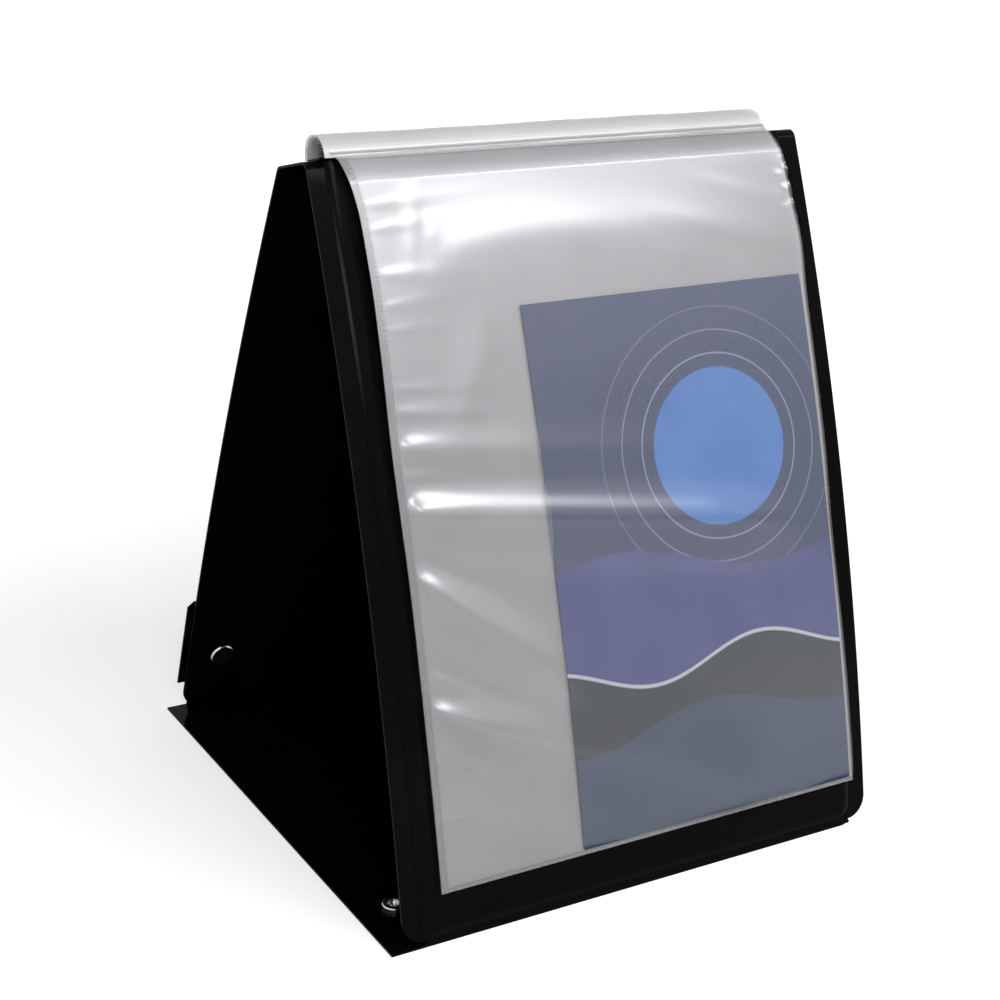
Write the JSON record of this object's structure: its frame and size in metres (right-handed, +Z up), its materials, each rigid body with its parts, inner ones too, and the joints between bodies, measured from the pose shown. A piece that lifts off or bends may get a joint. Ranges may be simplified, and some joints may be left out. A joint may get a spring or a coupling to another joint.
{
  "type": "clear pocket display book",
  "caption": "Tent-standing display book of folded black sheet, with clear pocket leaves down the front, a card in the front pocket and a base flap that snaps to the rear cover.",
  "frame": {"origin": "on the surface that it stands on, under the middle of its box", "axes": "+Z up, X along the spine with +X to the right seen from the front, -Y to the front"},
  "size_m": [0.246, 0.2428, 0.3085],
  "materials": {
    "black_sheet": "black polypropylene sheet, fine grain, satin",
    "clear_film": "frosted clear film, soft gloss",
    "card": "printed coated card",
    "snap_metal": "bright nickel plate"
  },
  "bodies": {
    "base_body": {"base_sheet": "black_sheet", "left_base_socket": "snap_metal", "right_base_socket": "snap_metal", "left_base_cap": "snap_metal", "right_base_cap": "snap_metal"},
    "flap_body": {"closing_flap": "black_sheet", "left_flap_socket": "snap_metal", "right_flap_socket": "snap_metal", "left_flap_cap": "snap_metal", "right_flap_cap": "snap_metal"},
    "front_body": {"front_cover": "black_sheet", "spine_panel": "black_sheet", "backing_panel": "black_sheet", "binding_strip": "black_sheet", "leaf_heads": "clear_film", "inner_pocket_leaf_1": "clear_film", "inner_pocket_leaf_2": "clear_film", "inner_pocket_leaf_3": "clear_film", "inner_pocket_leaf_4": "clear_film", "inner_pocket_leaf_5": "clear_film", "inner_pocket_leaf_6": "clear_film", "inner_pocket_leaf_7": "clear_film", "inner_pocket_leaf_8": "clear_film", "inner_pocket_leaf_9": "clear_film"},
    "rear_body": {"rear_cover": "black_sheet", "left_rear_stud": "snap_metal", "right_rear_stud": "snap_metal", "left_rear_cap": "snap_metal", "right_rear_cap": "snap_metal"},
    "front_leaf": {"front_pocket_back_film": "clear_film", "front_pocket_face_film": "clear_film", "front_pocket_side_seam": "clear_film", "front_pocket_bottom_seam": "clear_film"},
    "card_body": {"display_card": "card"}
  },
  "joints": [
    {"name": "front_fold", "type": "hinge", "parent": "base_body", "child": "front_body", "pos_m": [0, -0.11971, 0.0018], "axis": [1, 0, 0], "range_deg": [0, 16]},
    {"name": "rear_fold", "type": "hinge", "parent": "front_body", "child": "rear_body", "pos_m": [0, 0.00228, 0.29331], "axis": [-1, 0, 0], "range_deg": [0, 33.7]},
    {"name": "flap_fold", "type": "hinge", "parent": "base_body", "child": "flap_body", "pos_m": [0, 0.12091, 0.0005], "axis": [-1, 0, 0], "range_deg": [0, 108]},
    {"name": "leaf_turn", "type": "hinge", "parent": "front_body", "child": "front_leaf", "pos_m": [0, -0.01605, 0.30412], "axis": [-1, 0, 0], "range_deg": [0, 225]},
    {"name": "card_slide", "type": "slide", "parent": "front_leaf", "child": "card_body", "axis": [1, 0, 0], "range_m": [0, 0.15]}
  ],
  "couplings": [
    {"joint": "rear_fold", "follows": "front_fold", "ratio": 2.1}
  ]
}
